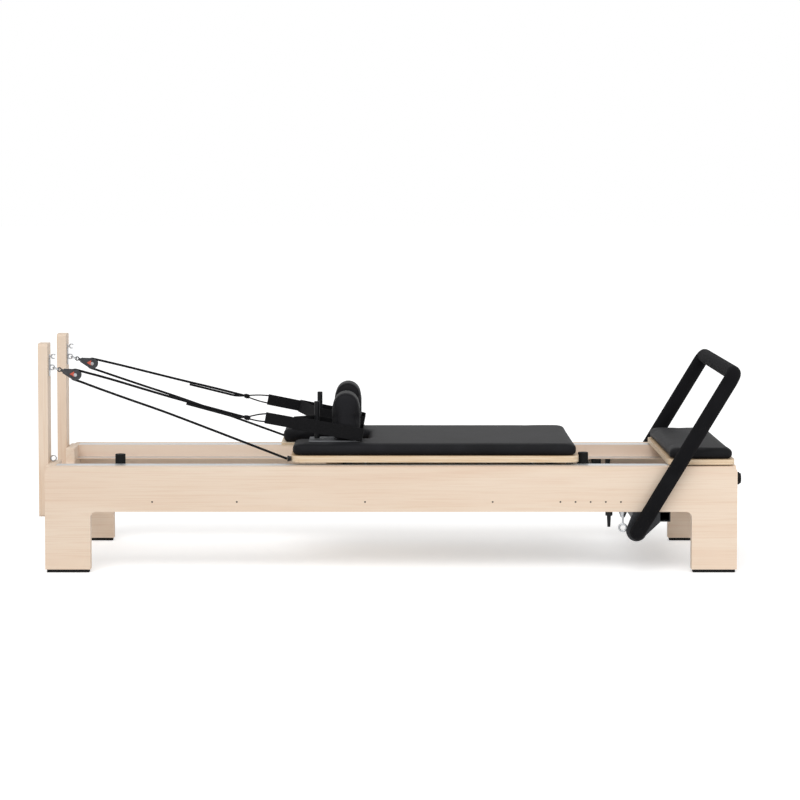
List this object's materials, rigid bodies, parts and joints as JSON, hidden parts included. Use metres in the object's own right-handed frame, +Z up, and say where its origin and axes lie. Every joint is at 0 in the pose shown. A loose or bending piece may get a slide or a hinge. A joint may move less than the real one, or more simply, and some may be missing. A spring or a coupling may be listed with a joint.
{
  "type": "pilates reformer",
  "caption": "Wooden pilates reformer: padded spring carriage on rails, shoulder rests, headrest, rope pulleys with straps, padded foot bar and foot platform.",
  "frame": {"origin": "middle of the bounding box's base, on the floor", "axes": "+X towards the foot bar, -Y the near side in the picture, +Z up"},
  "size_m": [2.344, 0.77, 0.753],
  "materials": {
    "panel_wood": "satin lacquer on maple",
    "plywood": "satin lacquer on birch plywood",
    "black_rubber": "matt",
    "aluminium": "satin anodised",
    "dark_steel": "satin",
    "bright_steel": "zinc plated",
    "black_plastic": "matt",
    "black_steel": "powder coated",
    "foam_grip": "fine foam",
    "upholstery": "fine grained vinyl",
    "rope": "braided",
    "webbing": "woven webbing",
    "wheel_plastic": "satin"
  },
  "bodies": {
    "frame": {"near_side_panel": "panel_wood", "far_side_panel": "panel_wood", "head_end_board": "panel_wood", "foot_end_board": "panel_wood", "near_post": "panel_wood", "far_post": "panel_wood", "rubber_feet": "black_rubber", "tracks": "aluminium", "panel_screws": "dark_steel", "post_bolts": "dark_steel", "post_hooks": "bright_steel", "eye_plates": "bright_steel", "shackles": "bright_steel", "pulley_blocks": "black_plastic", "tether_ring": "bright_steel", "rubber_stops": "black_rubber", "foot_end_bumpers": "black_rubber", "spring_bar": "bright_steel", "spring_bar_brackets": "dark_steel", "cross_beam": "black_steel", "foot_bar_ears": "black_steel", "platform_base": "plywood", "platform_pad": "upholstery", "platform_spacers": "black_rubber", "hanger_peg": "black_plastic", "near_rope": "rope", "far_rope": "rope"},
    "carriage": {"carriage_base": "plywood", "carriage_pad": "upholstery", "carriage_battens": "plywood", "wheel_axles": "bright_steel", "roller_bolts": "bright_steel", "near_shoulder_rest": "upholstery", "far_shoulder_rest": "upholstery", "rest_plates": "bright_steel", "rest_bolts": "dark_steel", "strap_pegs": "black_steel", "rope_sockets": "black_plastic", "spring_anchor": "dark_steel", "springs": "bright_steel", "near_strap": "webbing", "far_strap": "webbing", "headrest_hinges": "bright_steel"},
    "headrest": {"headrest_board": "plywood", "headrest_cushion": "upholstery"},
    "foot_bar": {"foot_bar_tube": "black_steel", "foot_bar_padding": "foam_grip"},
    "near_knob": {"near_clamp_knob": "black_plastic"},
    "far_knob": {"far_clamp_knob": "black_plastic"},
    "near_pulley_wheel": {"near_sheave": "black_plastic"},
    "far_pulley_wheel": {"far_sheave": "black_plastic"},
    "hook": {"snap_hook": "bright_steel"},
    "near_head_wheel": {"near_head_wheel": "wheel_plastic"},
    "near_head_roller": {"near_head_roller": "wheel_plastic"},
    "near_foot_wheel": {"near_foot_wheel": "wheel_plastic"},
    "near_foot_roller": {"near_foot_roller": "wheel_plastic"},
    "far_head_wheel": {"far_head_wheel": "wheel_plastic"},
    "far_head_roller": {"far_head_roller": "wheel_plastic"},
    "far_foot_wheel": {"far_foot_wheel": "wheel_plastic"},
    "far_foot_roller": {"far_foot_roller": "wheel_plastic"}
  },
  "joints": [
    {"name": "carriage_slide", "type": "slide", "parent": "frame", "child": "carriage", "axis": [1, 0, 0], "range_m": [-0.555, 0], "stiffness_N_per_m": 600, "deforming": ["springs", "near_rope", "far_rope"]},
    {"name": "headrest_tilt", "type": "hinge", "parent": "carriage", "child": "headrest", "pos_m": [-0.1, 0, 0.3865], "axis": [0, 1, 0], "range_deg": [0, 28]},
    {"name": "foot_bar_fold", "type": "hinge", "parent": "frame", "child": "foot_bar", "pos_m": [0.817, 0, 0.138], "axis": [0, 1, 0], "range_deg": [-80, 55]},
    {"name": "near_knob_turn", "type": "hinge", "parent": "frame", "child": "near_knob", "pos_m": [0.817, -0.313, 0.138], "axis": [0, 1, 0], "continuous": true},
    {"name": "far_knob_turn", "type": "hinge", "parent": "frame", "child": "far_knob", "pos_m": [0.817, 0.313, 0.138], "axis": [0, 1, 0], "continuous": true},
    {"name": "near_pulley_spin", "type": "hinge", "parent": "frame", "child": "near_pulley_wheel", "pos_m": [-1.0512, -0.212, 0.646], "axis": [0, 1, 0], "continuous": true},
    {"name": "far_pulley_spin", "type": "hinge", "parent": "frame", "child": "far_pulley_wheel", "pos_m": [-1.0512, 0.212, 0.646], "axis": [0, 1, 0], "continuous": true},
    {"name": "hook_swivel", "type": "hinge", "parent": "frame", "child": "hook", "pos_m": [0.773, -0.314, 0.19], "axis": [0, 0, 1], "range_deg": [0, 90]},
    {"name": "near_head_wheel_roll", "type": "hinge", "parent": "carriage", "child": "near_head_wheel", "pos_m": [-0.14, -0.2335, 0.3333], "axis": [0, 1, 0], "continuous": true},
    {"name": "near_head_roller_roll", "type": "hinge", "parent": "carriage", "child": "near_head_roller", "pos_m": [-0.08, -0.2377, 0.326], "axis": [0, 0, 1], "continuous": true},
    {"name": "near_foot_wheel_roll", "type": "hinge", "parent": "carriage", "child": "near_foot_wheel", "pos_m": [0.536, -0.2335, 0.3333], "axis": [0, 1, 0], "continuous": true},
    {"name": "near_foot_roller_roll", "type": "hinge", "parent": "carriage", "child": "near_foot_roller", "pos_m": [0.476, -0.2377, 0.326], "axis": [0, 0, 1], "continuous": true},
    {"name": "far_head_wheel_roll", "type": "hinge", "parent": "carriage", "child": "far_head_wheel", "pos_m": [-0.14, 0.2335, 0.3333], "axis": [0, 1, 0], "continuous": true},
    {"name": "far_head_roller_roll", "type": "hinge", "parent": "carriage", "child": "far_head_roller", "pos_m": [-0.08, 0.2377, 0.326], "axis": [0, 0, 1], "continuous": true},
    {"name": "far_foot_wheel_roll", "type": "hinge", "parent": "carriage", "child": "far_foot_wheel", "pos_m": [0.536, 0.2335, 0.3333], "axis": [0, 1, 0], "continuous": true},
    {"name": "far_foot_roller_roll", "type": "hinge", "parent": "carriage", "child": "far_foot_roller", "pos_m": [0.476, 0.2377, 0.326], "axis": [0, 0, 1], "continuous": true}
  ],
  "couplings": [
    {"joint": "near_head_wheel_roll", "follows": "carriage_slide", "rad_per_m": 43.478},
    {"joint": "near_head_roller_roll", "follows": "carriage_slide", "rad_per_m": -71.429},
    {"joint": "near_foot_wheel_roll", "follows": "carriage_slide", "rad_per_m": 43.478},
    {"joint": "near_foot_roller_roll", "follows": "carriage_slide", "rad_per_m": -71.429},
    {"joint": "far_head_wheel_roll", "follows": "carriage_slide", "rad_per_m": 43.478},
    {"joint": "far_head_roller_roll", "follows": "carriage_slide", "rad_per_m": 71.429},
    {"joint": "far_foot_wheel_roll", "follows": "carriage_slide", "rad_per_m": 43.478},
    {"joint": "far_foot_roller_roll", "follows": "carriage_slide", "rad_per_m": 71.429}
  ]
}
